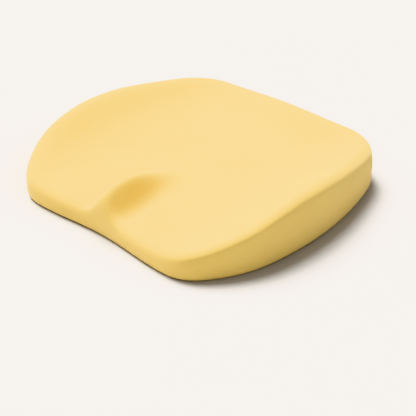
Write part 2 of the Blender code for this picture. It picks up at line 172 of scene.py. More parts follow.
def turn_of(theta):
    """Angle from the front, 0 to 180 degrees on either side."""
    return np.degrees(np.arccos(np.clip(np.cos(theta), -1, 1)))


def rim_at(theta):
    turn = turn_of(theta)
    return (FRONT_HEIGHT + (SIDE_HEIGHT - FRONT_HEIGHT) * between(turn, SIDE_RISE)
            - (SIDE_HEIGHT - CORNER_HEIGHT) * between(turn, SIDE_FALL)
            + (REAR_HEIGHT - CORNER_HEIGHT) * between(turn, (SIDE_FALL[1], 180.0)))


def lean_at(theta):
    near = (turn_of(theta) - SHOULDER_AT) / SHOULDER_SPREAD
    return WALL_LEAN - SHOULDER_UPRIGHT * np.exp(-(near**2))


def edge_at(theta):
    return FRONT_EDGE_R + (SIDE_EDGE_R - FRONT_EDGE_R) * between(turn_of(theta), EDGE_CHANGE)


def outline(theta):
    """The wall's widest line, exactly straight over the zip."""
    r = radius_at(theta)
    back = np.maximum(-np.cos(theta), 1e-6)
    straight = (back > 0.5) & (REAR_EDGE / back * np.abs(np.sin(theta)) < REAR_HALF)
    r = np.where(straight, REAR_EDGE / back, r)
    return r * np.sin(theta), OUTLINE_CENTRE_Y - r * np.cos(theta)


def outline_normal(theta):
    step = 2e-3
    xa, ya = outline(theta - step)
    xb, yb = outline(theta + step)
    nx, ny = yb - ya, -(xb - xa)
    size = np.hypot(nx, ny)
    return nx / size, ny / size


def pan(y):
    """The seat pan and thigh channels, without rim or pommel."""
    return PAN_HEIGHT - THIGH_DROP * ease((DROP_START - (y - OUTLINE_CENTRE_Y)) / DROP_LENGTH)


def pommel(x, y):
    """How far the pommel stands above the pan."""
    v = y - OUTLINE_CENTRE_Y
    nose = POMMEL_NOSE + (1 - POMMEL_NOSE) * between(v, NOSE_SPAN)
    rise = POMMEL_RISE * nose * (1 - between(v, TAIL_SPAN))
    half = NOSE_HALF + (CREST_HALF - NOSE_HALF) * between(v, SLIM_SPAN)
    half = half + (TAIL_HALF - CREST_HALF) * between(v, WIDEN_SPAN)
    return rise * np.exp(-np.abs(x / half) ** POMMEL_SHAPE)


# ------------------------------------------------------------------ scene helpers


def new_object(name, verts, faces, smooth=True):
    mesh = bpy.data.meshes.new(name)
    mesh.from_pydata([tuple(float(c) for c in v) for v in verts], [], faces)
    mesh.validate()
    if smooth:
        mesh.shade_smooth()
    obj = bpy.data.objects.new(name, mesh)
    SCENE.collection.objects.link(obj)
    return obj


def piece(obj, stands_for=(), body=BODY):
    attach(obj, body)
    if stands_for:
        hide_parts(*stands_for)
    return obj


def paint(obj, mat):
    obj.data.materials.clear()
    obj.data.materials.append(mat)


# ------------------------------------------------------------------ cover geometry


def cover_grid():
    """Fine mesh of the cover's outer face: a square grid on top, rings down the wall."""
    k_max = TOP_RINGS
    side = 2 * k_max + 1
    ii, jj = np.meshgrid(np.arange(-k_max, k_max + 1), np.arange(-k_max, k_max + 1), indexing="ij")
    ring = np.maximum(np.abs(ii), np.abs(jj))
    with np.errstate(divide="ignore", invalid="ignore"):
        a = np.where(ii != 0, jj / ii, 0) * math.pi / 4
        b = np.where(jj != 0, ii / jj, 0) * math.pi / 4
    phi = np.where(
        np.abs(ii) >= np.abs(jj),
        np.where(ii >= 0, a, math.pi + a),
        np.where(jj > 0, math.pi / 2 - b, -math.pi / 2 - b),
    )
    theta = (phi + math.pi / 2).ravel()
    rho = (ring / k_max).ravel()
    rim, lean, edge = rim_at(theta), lean_at(theta), edge_at(theta)
    ox, oy = outline(theta)
    nx, ny = outline_normal(theta)
    inset = lean + edge
    tx, ty = ox - nx * inset, oy - ny * inset - OUTLINE_CENTRE_Y
    reach = np.hypot(tx, ty)
    rise = rim - pan(ty + OUTLINE_CENTRE_Y)
    x, y = rho * tx, rho * ty + OUTLINE_CENTRE_Y
    u = (1 - rho) * reach / ROLL_LENGTH
    z = pan(y) + rise * (1 + u) * np.exp(-u) + pommel(x, y)
    top = np.stack([x, y, z], axis=1)
    index = np.arange(side * side).reshape(side, side)
    quads = np.stack([index[:-1, :-1], index[1:, :-1], index[1:, 1:], index[:-1, 1:]], axis=-1)
    faces = [tuple(int(v) for v in q) for q in quads.reshape(-1, 4)]

    border = index.ravel()[ring.ravel() == k_max]
    order = np.argsort(np.mod(theta[border], 2 * math.pi), kind="stable")
    border = border[order]
    th = np.mod(theta[border], 2 * math.pi)
    n = len(border)
    rim, lean, edge = rim_at(th), lean_at(th), edge_at(th)
    ox, oy = outline(th)
    nx, ny = outline_normal(th)
    shoulder = rim - edge
    plumb = WALL_FOOT + (shoulder - WALL_FOOT) * PLUMB_SHARE
    straight = np.where(oy > 0, 1 - ease((np.abs(ox) - 129) / 34), 0)

    def ring_at(d, z, lift):
        x, y = ox - nx * d, oy - ny * d
        if lift:
            z = z + pommel(x, y) * ease((z - WALL_FOOT) / (rim - WALL_FOOT))
        return np.stack([x, y, z], axis=1)

    def leant(z):
        return lean * np.clip((z - plumb) / (rim - plumb), 0, 1) ** 2

    rings = []
    for deg in (81, 72, 63, 54, 45, 36, 27, 18, 9, 0):
        a = math.radians(deg)
        z = shoulder + edge * math.sin(a)
        rings.append(ring_at(leant(z) + edge * (1 - math.cos(a)), z, True))
    count = 13
    low = (ZIP_Z - SLOT_HALF_Z, ZIP_Z - SLOT_HALF_Z / 3, ZIP_Z + SLOT_HALF_Z / 3, ZIP_Z + SLOT_HALF_Z)
    slot_rows = []
    for i in range(1, count + 1):  # from the shoulder down to the wall's foot
        even = shoulder + (WALL_FOOT - shoulder) * i / count
        step = count - i  # 0 at the foot
        if step == 0:
            fixed = np.full(n, WALL_FOOT)
        elif step <= 4:
            fixed = np.full(n, low[step - 1])
        else:
            fixed = low[3] + (shoulder - low[3]) * (step - 4) / (count - 4)
        z = even + (fixed - even) * straight
        if 1 <= step <= 4:
            slot_rows.append(len(rings))
        rings.append(ring_at(leant(z), z, True))
    for d, z in ((0.1, 8.4), (0.3, 6.7), (0.55, 5.0), (1.05, 3.4), (1.75, 2.15), (2.7, 1.25),
                 (3.9, 0.65), (5.0, 0.45), (5.8, 0.7)):
        rings.append(ring_at(d, np.full(n, z), False))

    verts = [top]
    base = len(top)
    previous = border
    columns = [border]
    for r, points in enumerate(rings):
        current = np.arange(base, base + n)
        base += n
        verts.append(points)
        for c in range(n):
            d = (c + 1) % n
            if r in slot_rows[1:] and abs(ox[c]) <= SLOT_HALF_X and abs(ox[d]) <= SLOT_HALF_X and oy[c] > 0 and oy[d] > 0:
                continue
            faces.append((int(previous[c]), int(current[c]), int(current[d]), int(previous[d])))
        previous = current
        columns.append(current)
    return np.concatenate(verts), faces, columns, th


def used_only(verts, faces):
    used = np.zeros(len(verts), bool)
    for f in faces:
        used[list(f)] = True
    to = np.cumsum(used) - 1
    return verts[used], [tuple(int(to[v]) for v in f) for f in faces], used


def swell(verts, faces, cap=3.0):
    """Cloth pressure on a closed copy of the pad, as each point's travel, in millimetres.

    The copy is remeshed evenly, starts a little small and is held at its foot.
    """
    last = len(verts) - 8 * TOP_RINGS
    bottom = tuple(range(last, len(verts)))
    shrunk = verts.copy()
    centre = np.array([0, OUTLINE_CENTRE_Y, 30.0])
    shrunk = centre + (shrunk - centre) * np.array([0.994, 0.994, 0.985])
    obj = new_object("swell_form", shrunk * MM, faces + [bottom])
    rm = obj.modifiers.new("even", "REMESH")
    rm.mode = "VOXEL"
    rm.voxel_size = 0.0055
    depsgraph = bpy.context.evaluated_depsgraph_get()
    even = bpy.data.meshes.new_from_object(obj.evaluated_get(depsgraph))
    bpy.data.objects.remove(obj)
    obj = bpy.data.objects.new("swell_cloth", even)
    SCENE.collection.objects.link(obj)
    start = np.zeros(len(even.vertices) * 3)
    even.vertices.foreach_get("co", start)
    start = start.reshape(-1, 3)
    held = obj.vertex_groups.new(name="held")
    for i, z in enumerate(start[:, 2]):
        low = max(0.0, min(1.0, (0.016 - z) / 0.010))
        held.add([i], max(0.16, low), "REPLACE")
    cloth = obj.modifiers.new("cloth", "CLOTH")
    s = cloth.settings
    s.quality = 5
    s.mass = 0.25
    s.tension_stiffness = s.compression_stiffness = 18
    s.shear_stiffness = 8
    s.bending_stiffness = 1.2
    s.use_pressure = True
    s.uniform_pressure_force = 6.0
    s.effector_weights.gravity = 0
    s.vertex_group_mass = "held"
    s.pin_stiffness = 1.2
    cloth.collision_settings.use_collision = False
    for f in range(1, 21):
        SCENE.frame_set(f)
    depsgraph = bpy.context.evaluated_depsgraph_get()
    done = obj.evaluated_get(depsgraph)
    end = np.zeros(len(start) * 3)
    done.data.vertices.foreach_get("co", end)
    travel = (end.reshape(-1, 3) - start) / MM
    bpy.data.objects.remove(obj)
    SCENE.frame_set(1)
    size = np.linalg.norm(travel, axis=1)
    travel *= np.minimum(1, cap / np.maximum(size, 1e-9))[:, None]
    tree = KDTree(len(start))
    for i, p in enumerate(start):
        tree.insert(p, i)
    tree.balance()
    moved = np.zeros_like(verts)
    for i, p in enumerate(shrunk * MM):
        near = tree.find_n(p, 6)
        w = np.array([1 / (d + 0.0015) ** 2 for _, _, d in near])
        moved[i] = (travel[[j for _, j, _ in near]] * w[:, None]).sum(0) / w.sum()
    return moved


def neighbour_mean(count, faces):
    """Returns a function that averages a per-vertex array with its neighbours'."""
    pairs = set()
    for f in faces:
        for a, b in zip(f, f[1:] + f[:1]):
            pairs.add((min(a, b), max(a, b)))
    e = np.array(sorted(pairs))
    degree = np.bincount(e.ravel(), minlength=count)[:, None]

    def mean(values):
        out = np.zeros_like(values)
        for c in range(values.shape[1]):
            out[:, c] = np.bincount(e[:, 0], values[e[:, 1], c], count) + np.bincount(
                e[:, 1], values[e[:, 0], c], count)
        return out / np.maximum(degree, 1)

    return mean


def vertex_normals(verts, faces):
    f = np.array(faces)
    n = np.cross(verts[f[:, 2]] - verts[f[:, 0]], verts[f[:, 3]] - verts[f[:, 1]])
    out = np.zeros_like(verts)
    for k in range(4):
        for c in range(3):
            out[:, c] += np.bincount(f[:, k], n[:, c], len(verts))
    return out / np.maximum(np.linalg.norm(out, axis=1), 1e-12)[:, None]


def boundary_loops(faces):
    """Open edges, chained in order, each running as its face runs."""
    seen = {}
    for f in faces:
        for a, b in zip(f, f[1:] + f[:1]):
            if (b, a) in seen:
                del seen[(b, a)]
            else:
                seen[(a, b)] = True
    after = {a: b for a, b in seen}
    loops = []
    while after:
        first = next(iter(after))
        loop, v = [first], after.pop(first)
        while v != first:
            loop.append(v)
            v = after.pop(v)
        loops.append(loop)
    return loops


def thicken(verts, faces, thickness):
    """A closed skin: outer face, inner face and rolled edges round each opening."""
    normals = vertex_normals(verts, faces)
    inner = verts - normals * thickness
    n = len(verts)
    out_faces = list(faces) + [tuple(v + n for v in reversed(f)) for f in faces]
    points = [verts, inner]
    total = 2 * n
    ring_of = {}
    for f in faces:
        for a, b in zip(f, f[1:] + f[:1]):
            ring_of.setdefault(a, set()).add(b)
            ring_of.setdefault(b, set()).add(a)
    for loop in boundary_loops(faces):
        on_loop = set(loop)
        away = []
        for v in loop:
            inside = [w for w in ring_of[v] if w not in on_loop]
            d = verts[v] - (verts[inside].mean(0) if inside else verts[v])
            away.append(d)
        away = np.array(away)
        for _ in range(2):
            away = (np.roll(away, 1, 0) + 2 * away + np.roll(away, -1, 0)) / 4
        away /= np.maximum(np.linalg.norm(away, axis=1), 1e-9)[:, None]
        layers = [loop]
        for share in (0.25, 0.5, 0.75):
            bulge = thickness * 0.5 * math.sin(math.pi * share) * 0.9
            p = verts[loop] - normals[loop] * thickness * share + away * bulge
            points.append(p)
            layers.append(list(range(total, total + len(loop))))
            total += len(loop)
        layers.append([v + n for v in loop])
        for a, b in zip(layers, layers[1:]):
            for i in range(len(loop)):
                j = (i + 1) % len(loop)
                out_faces.append((a[j], a[i], b[i], b[j]))
    return np.concatenate(points), out_faces


def build_cover():
    verts, faces, columns, th = cover_grid()
    closed_faces = faces
    # the closed form for the swelling has the slot's faces too
    moved = swell(verts, all_faces(columns, faces), cap=3.0)
    mean = neighbour_mean(len(verts), closed_faces)
    for _ in range(12):
        moved = 0.5 * moved + 0.5 * mean(moved)
    normals = vertex_normals(verts, faces)
    along = (moved * normals).sum(1)
    calm = along[:, None].copy()
    for _ in range(220):
        calm = mean(calm)
    # the foam holds the pad's size; the cloth's own unevenness stays on it
    keep = (along - calm[:, 0]) * ease((verts[:, 2] - 6) / 14)
    print("swell: travel %.2f to %.2f mm, kept %.2f to %.2f mm" % (
        along.min(), along.max(), keep.min(), keep.max()))
    verts = verts + normals * np.clip(keep, -1.2, 1.2)[:, None]
    # a faint pucker where the wall is gathered to the base
    normals = vertex_normals(verts, faces)
    foot = np.exp(-((verts[:, 2] - 4.5) / 5.5) ** 2) * (verts[:, 2] < 24)
    run = np.arctan2(verts[:, 0], -(verts[:, 1] - OUTLINE_CENTRE_Y))
    wave = np.sin(97 * run + 1.3 * np.sin(5 * run)) * 0.6 + np.sin(61 * run + 2.1 * np.sin(3 * run + 1)) * 0.4
    edge = np.maximum(np.abs(verts[:, 0]), np.abs(verts[:, 1])) > 90
    verts = verts + normals * (foot * wave * 0.16 * edge)[:, None]
    verts, faces, _ = used_only(verts, faces)
    verts, faces = thicken(verts, faces, COVER_T - 0.3)
    cover = new_object("cover_knit", verts * MM, faces)
    piece(cover, ("cover_shell",))
    return cover


def all_faces(columns, faces):
    """The cover's faces with the slot closed again."""
    have = set(faces)
    out = list(faces)
    for a, b in zip(columns, columns[1:]):
        n = len(a)
        for c in range(n):
            d = (c + 1) % n
            f = (int(a[c]), int(b[c]), int(b[d]), int(a[d]))
            if f not in have:
                out.append(f)
    return out


# ------------------------------------------------------------------ base panel and stitches


def at_inset(theta, d, z):
    x, y = outline(theta)
    nx, ny = outline_normal(theta)
    return np.stack([x - nx * d, y - ny * d, np.full(len(theta), 1.0) * z], axis=1)


def build_base():
    """The grip fabric, with a soft edge, and its dots standing on the floor."""
    n = 480
    theta = np.linspace(0, 2 * math.pi, n, endpoint=False)
    rows = [at_inset(theta, d, z) for d, z in (
        (30, 1.55), (9.0, 1.6), (7.0, 1.58), (6.35, 1.35), (6.15, 1.0), (6.35, 0.65), (7.0, 0.45),
        (9.0, 0.42), (11.6, 0.42), (12.3, 0.62), (13.0, 0.62), (13.7, 0.42), (30, 0.42))]
    verts = np.concatenate(rows)
    faces = []
    for r in range(len(rows) - 1):
        for c in range(n):
            d = (c + 1) % n
            faces.append((r * n + c, (r + 1) * n + c, (r + 1) * n + d, r * n + d))
    first, last = 0, (len(rows) - 1) * n
    faces.append(tuple(range(first, first + n)))
    faces.append(tuple(reversed(range(last, last + n))))
    base = new_object("base_fabric", verts * MM, faces)
    bm = bmesh.new()
    bm.from_mesh(base.data)
    bmesh.ops.recalc_face_normals(bm, faces=bm.faces)
    bm.to_mesh(base.data)
    bm.free()
    for p in base.data.polygons:
        p.use_smooth = p.normal.z > -0.999 and p.normal.z < 0.999
    piece(base, ("base_panel",))

    # dots on a hexagonal grid, kept inside the seam
    points, out = [], []
    pitch = 9.5
    rings, sides = ((1.75, 0.45), (1.62, 0.22), (1.15, 0.05), (0.0, 0.0)), 10
    row = 0
    y = -230.0
    while y < 230:
        x = -240.0 + (row % 2) * pitch / 2
        while x < 240:
            angle = math.atan2(x, -(y - OUTLINE_CENTRE_Y))
            edge = at_inset(np.array([angle]), 19.0, 0)[0]
            if math.hypot(x, y - OUTLINE_CENTRE_Y) < math.hypot(edge[0], edge[1] - OUTLINE_CENTRE_Y):
                s = len(points)
                for r, z in rings[:-1]:
                    for k in range(sides):
                        a = 2 * math.pi * k / sides
                        points.append((x + r * math.cos(a), y + r * math.sin(a), z))
                points.append((x, y, rings[-1][1]))
                for q in range(2):
                    for k in range(sides):
                        j = (k + 1) % sides
                        out.append((s + q * sides + k, s + q * sides + j,
                                    s + (q + 1) * sides + j, s + (q + 1) * sides + k)[::-1])
                for k in range(sides):
                    out.append((s + 2 * sides + (k + 1) % sides, s + 2 * sides + k, s + 3 * sides))
                out.append(tuple(s + k for k in range(sides)))
            x += pitch
        y += pitch * math.sqrt(3) / 2
        row += 1
    dots = new_object("grip_dots", np.array(points) * MM, out)
    fix_normals(dots)
    piece(dots)
    return base, dots


def fix_normals(obj):
    bm = bmesh.new()
    bm.from_mesh(obj.data)
    bmesh.ops.recalc_face_normals(bm, faces=bm.faces)
    bm.to_mesh(obj.data)
    bm.free()
    obj.data.shade_smooth()


def stitch_row(name, path, normal, pitch, length, radius, sink):
    """Thread stitches along a path: bowed capsules that dip into the cloth at both ends."""
    path = np.array(path, float)
    normal = np.array(normal, float)
    seg = np.linalg.norm(np.diff(path, axis=0), axis=1)
    dist = np.concatenate([[0], np.cumsum(seg)])
    total = dist[-1]
    count = int(total // pitch)
    start = (total - count * pitch) / 2
    verts, faces = [], []
    sides, steps = 6, 5

    def at(d):
        return np.array([np.interp(d, dist, path[:, c]) for c in range(3)])

    def out(d):
        v = np.array([np.interp(d, dist, normal[:, c]) for c in range(3)])
        return v / np.linalg.norm(v)

    for k in range(count):
        d0 = start + k * pitch + (pitch - length) / 2
        s = len(verts)
        for i in range(steps + 1):
            t = i / steps
            d = d0 + length * t
            p, n = at(d), out(d)
            ahead = at(min(d + 0.2, total)) - at(max(d - 0.2, 0))
            ahead /= np.linalg.norm(ahead)
            across = np.cross(ahead, n)
            bow = 4 * t * (1 - t)
            mid = p + n * (-sink + (radius * 0.55 + sink) * bow**0.6)
            r = radius * (0.45 + 0.55 * bow**0.5)
            for a in range(sides):
                w = 2 * math.pi * a / sides
                verts.append(mid + n * r * math.sin(w) + across * r * math.cos(w))
        for i in range(steps):
            for a in range(sides):
                b = (a + 1) % sides
                faces.append((s + i * sides + a, s + i * sides + b,
                              s + (i + 1) * sides + b, s + (i + 1) * sides + a))
        faces.append(tuple(s + a for a in reversed(range(sides))))
        faces.append(tuple(s + steps * sides + a for a in range(sides)))
    obj = new_object(name, np.array(verts) * MM, faces)
    fix_normals(obj)
    return obj


def build_stitches():
    theta = np.linspace(0, 2 * math.pi, 720)
    path = at_inset(theta, 9.9, 0.46)
    down = np.tile([0, 0, -1.0], (len(path), 1))
    seam = stitch_row("base_seam_stitches", path, down, 3.4, 2.7, 0.32, 0.3)
    piece(seam, ("base_seam_thread",))
    rows = [seam]
    for side, name in ((1, "upper"), (-1, "lower")):
        z = ZIP_Z + side * (SLOT_HALF_Z + 2.0)
        xs = np.linspace(-TAPE_HALF_X + 2, TAPE_HALF_X - 2, 80)
        path = np.stack([xs, np.full(80, REAR_Y + 0.05), np.full(80, z)], axis=1)
        back = np.tile([0, 1.0, 0], (80, 1))
        row = stitch_row("zip_stitches_" + name, path, back, 3.0, 2.4, 0.30, 0.28)
        piece(row, ("zipper_stitch_" + name,))
        rows.append(row)
    for side, name in ((1, "right"), (-1, "left")):  # bar tacks across the zip's ends
        x = side * (SLOT_HALF_X + 2.4)
        zs = np.linspace(ZIP_Z - SLOT_HALF_Z - 2.0, ZIP_Z + SLOT_HALF_Z + 2.0, 20)
        path = np.stack([np.full(20, x), np.full(20, REAR_Y + 0.05), zs], axis=1)
        back = np.tile([0, 1.0, 0], (20, 1))
        row = stitch_row("zip_bar_tack_" + name, path, back, 1.6, 1.5, 0.30, 0.2)
        piece(row)
        rows.append(row)
    return rows


def build_coils():
    """Nylon spirals of the closed zip, one for each tape."""
    made = []
    for side, name in ((1, "upper"), (-1, "lower")):
        pitch, per = 1.5, 10
        turns = int(2 * (COIL_HALF_X - 0.5) / pitch)
        verts, faces = [], []
        sides, r = 6, 0.36
        x0 = -turns * pitch / 2 + (0.0 if side > 0 else pitch / 2 - 0.375)
        centres = []
        for i in range(turns * per - per // 2 + 1):
            a = 2 * math.pi * i / per
            x = x0 + pitch * i / per
            # a flattened loop: wide in z, shallow in y; its head reaches over the middle
            z = ZIP_Z + side * (1.15 - 1.4 * math.cos(a))
            y = REAR_Y - 0.55 + 0.62 * math.sin(a)
            centres.append((x, y, z))
        centres = np.array(centres)
        ahead = np.gradient(centres, axis=0)
        ahead /= np.linalg.norm(ahead, axis=1)[:, None]
        ref = np.array([1.0, 0, 0])
        across = np.cross(ahead, ref)
        across /= np.linalg.norm(across, axis=1)[:, None]
        third = np.cross(across, ahead)
        n = len(centres)
        for k in range(sides):
            w = 2 * math.pi * k / sides
            verts.append(centres + across * r * math.cos(w) + third * r * math.sin(w))
        verts = np.stack(verts, axis=1).reshape(-1, 3)
        for i in range(n - 1):
            for k in range(sides):
                j = (k + 1) % sides
                faces.append((i * sides + k, i * sides + j, (i + 1) * sides + j, (i + 1) * sides + k))
        faces.append(tuple(reversed(range(sides))))
        faces.append(tuple((n - 1) * sides + k for k in range(sides)))
        coil = new_object("zip_spiral_" + name, verts * MM, faces)
        fix_normals(coil)
        piece(coil, ("zipper_coil_" + name,))
        made.append(coil)
    return made


# ------------------------------------------------------------------ materials


class Nodes:
    """Small helper to write node trees in a few lines."""

    def __init__(self, tree):
        self.tree = tree
        self.x = 0

    def add(self, kind, **values):
        node = self.tree.nodes.new(kind)
        self.x += 40
        node.location = (self.x, -self.x % 400)
        for key, value in values.items():
            setattr(node, key, value)
        return node

    def link(self, a, b):
        self.tree.links.new(a, b)

    def put(self, socket, value):
        if isinstance(value, (int, float, tuple)):
            socket.default_value = value
        else:
            self.link(value, socket)

    def math(self, op, a, b=0.0, c=0.0):
        node = self.add("ShaderNodeMath", operation=op)
        for socket, value in zip(node.inputs, (a, b, c)):
            self.put(socket, value)
        return node.outputs[0]

    def ramp(self, fac, stops):
        node = self.add("ShaderNodeValToRGB")
        ramp = node.color_ramp
        while len(ramp.elements) < len(stops):
            ramp.elements.new(0.5)
        for el, (pos, colour) in zip(ramp.elements, stops):
            el.position = pos
            el.color = (*colour, 1)
        self.put(node.inputs[0], fac)
        return node.outputs[0]

    def noise(self, vector, scale, detail=3.0, rough=0.55, dist=0.0):
        node = self.add("ShaderNodeTexNoise")
        self.put(node.inputs["Vector"], vector)
        node.inputs["Scale"].default_value = scale
        node.inputs["Detail"].default_value = detail
        node.inputs["Roughness"].default_value = rough
        node.inputs["Distortion"].default_value = dist
        return node.outputs["Fac"]

    def mix(self, kind, fac, a, b):
        node = self.add("ShaderNodeMix", data_type="RGBA", blend_type=kind)
        self.put(node.inputs[0], fac)
        for socket, value in ((node.inputs[6], a), (node.inputs[7], b)):
            if isinstance(value, tuple) and len(value) == 3:
                value = (*value, 1)
            self.put(socket, value)
        return node.outputs[2]

    def span(self, value, lo, hi, to_lo, to_hi):
        node = self.add("ShaderNodeMapRange")
        for socket, v in zip(node.inputs, (value, lo, hi, to_lo, to_hi)):
            self.put(socket, v)
        return node.outputs[0]


def knit_group():
    """Height of a plain knit in the XY plane of its vector: rows of nested V stitches."""
    tree = bpy.data.node_groups.new("KnitHeight", "ShaderNodeTree")
    tree.interface.new_socket("Vector", in_out="INPUT", socket_type="NodeSocketVector")
    tree.interface.new_socket("Height", in_out="OUTPUT", socket_type="NodeSocketFloat")
    n = Nodes(tree)
    gin, gout = n.add("NodeGroupInput"), n.add("NodeGroupOutput")
    sep = n.add("ShaderNodeSeparateXYZ")
    n.link(gin.outputs[0], sep.inputs[0])
    u = n.math("FRACT", sep.outputs[0])
    leg = n.math("ABSOLUTE", n.math("SUBTRACT", u, 0.5))  # 0 mid-wale, 0.5 at its sides
    v = n.math("FRACT", n.math("ADD", sep.outputs[1], n.math("MULTIPLY", leg, 1.5)))
    yarn = n.math("SINE", n.math("MULTIPLY", v, math.pi))
    body = n.math("SINE", n.math("MULTIPLY", leg, 2 * math.pi))
    h = n.math("MULTIPLY", n.math("POWER", yarn, 0.7), n.math("ADD", n.math("MULTIPLY", body, 0.6), 0.4))
    n.link(h, gout.inputs[0])
    return tree


def weave_group():
    """Height of a plain weave in the XY plane of its vector."""
    tree = bpy.data.node_groups.new("WeaveHeight", "ShaderNodeTree")
    tree.interface.new_socket("Vector", in_out="INPUT", socket_type="NodeSocketVector")
    tree.interface.new_socket("Height", in_out="OUTPUT", socket_type="NodeSocketFloat")
    n = Nodes(tree)
    gin, gout = n.add("NodeGroupInput"), n.add("NodeGroupOutput")
    sep = n.add("ShaderNodeSeparateXYZ")
    n.link(gin.outputs[0], sep.inputs[0])
    x, y = (n.math("MULTIPLY", sep.outputs[i], math.pi) for i in (0, 1))
    sx, sy = n.math("SINE", x), n.math("SINE", y)
    over = n.math("MULTIPLY", n.math("COSINE", x), n.math("COSINE", y))
    warp = n.math("MULTIPLY", n.math("ABSOLUTE", sx), n.math("ADD", n.math("MULTIPLY", over, 0.4), 0.6))
    weft = n.math("MULTIPLY", n.math("ABSOLUTE", sy), n.math("SUBTRACT", 0.6, n.math("MULTIPLY", over, 0.4)))
    n.link(n.math("MAXIMUM", warp, weft), gout.inputs[0])
    return tree


KNIT = knit_group()
WEAVE = weave_group()


def boxed(n, group, coord, normal, size_u, size_v):
    """A group's height laid on from three sides, blended by which way the face looks."""
    sep = n.add("ShaderNodeSeparateXYZ")
    n.link(coord, sep.inputs[0])
    nor = n.add("ShaderNodeSeparateXYZ")
    n.link(normal, nor.inputs[0])
    weights = [n.math("POWER", n.math("ABSOLUTE", nor.outputs[i]), 4.0) for i in range(3)]
    total = n.math("ADD", n.math("ADD", weights[0], weights[1]), n.math("ADD", weights[2], 1e-5))
    out = None
    for axis, (a, b) in ((2, (0, 1)), (0, (1, 2)), (1, (0, 2))):
        comb = n.add("ShaderNodeCombineXYZ")
        n.link(n.math("MULTIPLY", sep.outputs[a], 1 / size_u), comb.inputs[0])
        n.link(n.math("MULTIPLY", sep.outputs[b], 1 / size_v), comb.inputs[1])
        g = n.add("ShaderNodeGroup")
        g.node_tree = group
        n.link(comb.outputs[0], g.inputs[0])
        part = n.math("MULTIPLY", g.outputs[0], n.math("DIVIDE", weights[axis], total))
        out = part if out is None else n.math("ADD", out, part)
    return out


def start(name, **sockets):
    m = bpy.data.materials.new(name)
    m.use_nodes = True
    shader = m.node_tree.nodes["Principled BSDF"]
    for key, value in sockets.items():
        shader.inputs[key.replace("_", " ")].default_value = value
    n = Nodes(m.node_tree)
    coord = n.add("ShaderNodeTexCoord")
    return m, n, shader, coord.outputs["Object"], coord.outputs["Normal"]


def bump(n, shader, layers):
    """Chains height layers, each (height, strength, distance in metres)."""
    last = None
    for height, strength, distance in layers:
        b = n.add("ShaderNodeBump")
        b.inputs["Strength"].default_value = strength
        b.inputs["Distance"].default_value = distance
        n.link(height, b.inputs["Height"])
        if last is not None:
            n.link(last, b.inputs["Normal"])
        last = b.outputs[0]
    n.link(last, shader.inputs["Normal"])


COVER_COLOUR = (0.90, 0.652, 0.200)


def knit_material():
    m, n, shader, co, nor = start(
        "cover_knit_fabric", Sheen_Weight=0.35, Sheen_Roughness=0.45, Sheen_Tint=(1.0, 0.93, 0.78, 1.0),
        Specular_IOR_Level=0.28)
    stitch = boxed(n, KNIT, co, nor, 0.00155, 0.00120)
    cloud = n.noise(co, 9.0, 3.0)
    slub = n.noise(co, 260.0, 2.0)
    fuzz = n.noise(co, 2600.0, 2.0)
    r, g, b = COVER_COLOUR
    base = n.ramp(cloud, ((0.30, (r * 0.985, g * 0.975, b * 0.95)), (0.70, (r * 1.01, g * 1.02, b * 1.05))))
    base = n.mix("MULTIPLY", n.span(slub, 0.35, 0.65, 0.0, 0.30), base, (0.965, 0.955, 0.93))
    gaps = n.span(stitch, 0.0, 0.75, 0.75, 0.0)
    base = n.mix("MULTIPLY", gaps, base, (0.86, 0.82, 0.72))
    # the raised edges are painted a little paler and whiter: partly rubbed wear, partly painted sheen
    geo = n.add("ShaderNodeNewGeometry")
    wear_and_sheen = n.math("MULTIPLY", n.span(geo.outputs["Pointiness"], 0.52, 0.60, 0.0, 1.0),
                  n.span(n.noise(co, 34.0, 4.0), 0.42, 0.70, 0.0, 0.5))
    base = n.mix("MIX", wear_and_sheen, base, (min(1, r * 1.04), min(1, g * 1.08), b * 1.25))
    n.link(base, shader.inputs["Base Color"])
    rough = n.math("ADD", n.span(slub, 0.3, 0.7, 0.80, 0.90), n.math("MULTIPLY", stitch, -0.05))
    n.link(rough, shader.inputs["Roughness"])
    bump(n, shader, ((n.noise(co, 22.0, 2.0), 0.12, 0.004), (stitch, 0.45, 0.0004), (fuzz, 0.25, 0.0002)))
    return m


def woven_material(name, colour, size, rough, deep=(0.7, 0.7, 0.7), depth=0.0003, sheen=0.1):
    m, n, shader, co, nor = start(name, Sheen_Weight=sheen, Sheen_Roughness=0.5, Specular_IOR_Level=0.3)
    h = boxed(n, WEAVE, co, nor, size, size)
    var = n.noise(co, 40.0, 3.0)
    base = n.ramp(var, ((0.3, tuple(c * 0.95 for c in colour)), (0.7, tuple(min(1, c * 1.04) for c in colour))))
    base = n.mix("MULTIPLY", n.span(h, 0.0, 0.8, 0.9, 0.0), base, deep)
    n.link(base, shader.inputs["Base Color"])
    n.link(n.span(n.noise(co, 500.0, 2.0), 0.3, 0.7, rough - 0.06, rough + 0.06), shader.inputs["Roughness"])
    bump(n, shader, ((h, 0.6, depth), (n.noise(co, 3000.0, 2.0), 0.2, 0.0001)))
    return m


def thread_material(name, colour):
    m, n, shader, co, nor = start(name, Sheen_Weight=0.2, Sheen_Roughness=0.4, Specular_IOR_Level=0.45)
    wave = n.add("ShaderNodeTexWave", wave_type="BANDS", bands_direction="DIAGONAL")
    wave.inputs["Scale"].default_value = 900.0
    wave.inputs["Distortion"].default_value = 0.6
    n.link(co, wave.inputs["Vector"])
    base = n.ramp(wave.outputs["Fac"], ((0.0, tuple(c * 0.78 for c in colour)), (0.8, colour)))
    n.link(base, shader.inputs["Base Color"])
    n.link(n.span(n.noise(co, 900.0, 2.0), 0.3, 0.7, 0.5, 0.68), shader.inputs["Roughness"])
    bump(n, shader, ((wave.outputs["Fac"], 0.6, 0.0001), (n.noise(co, 4000.0, 2.0), 0.2, 0.00005)))
    return m


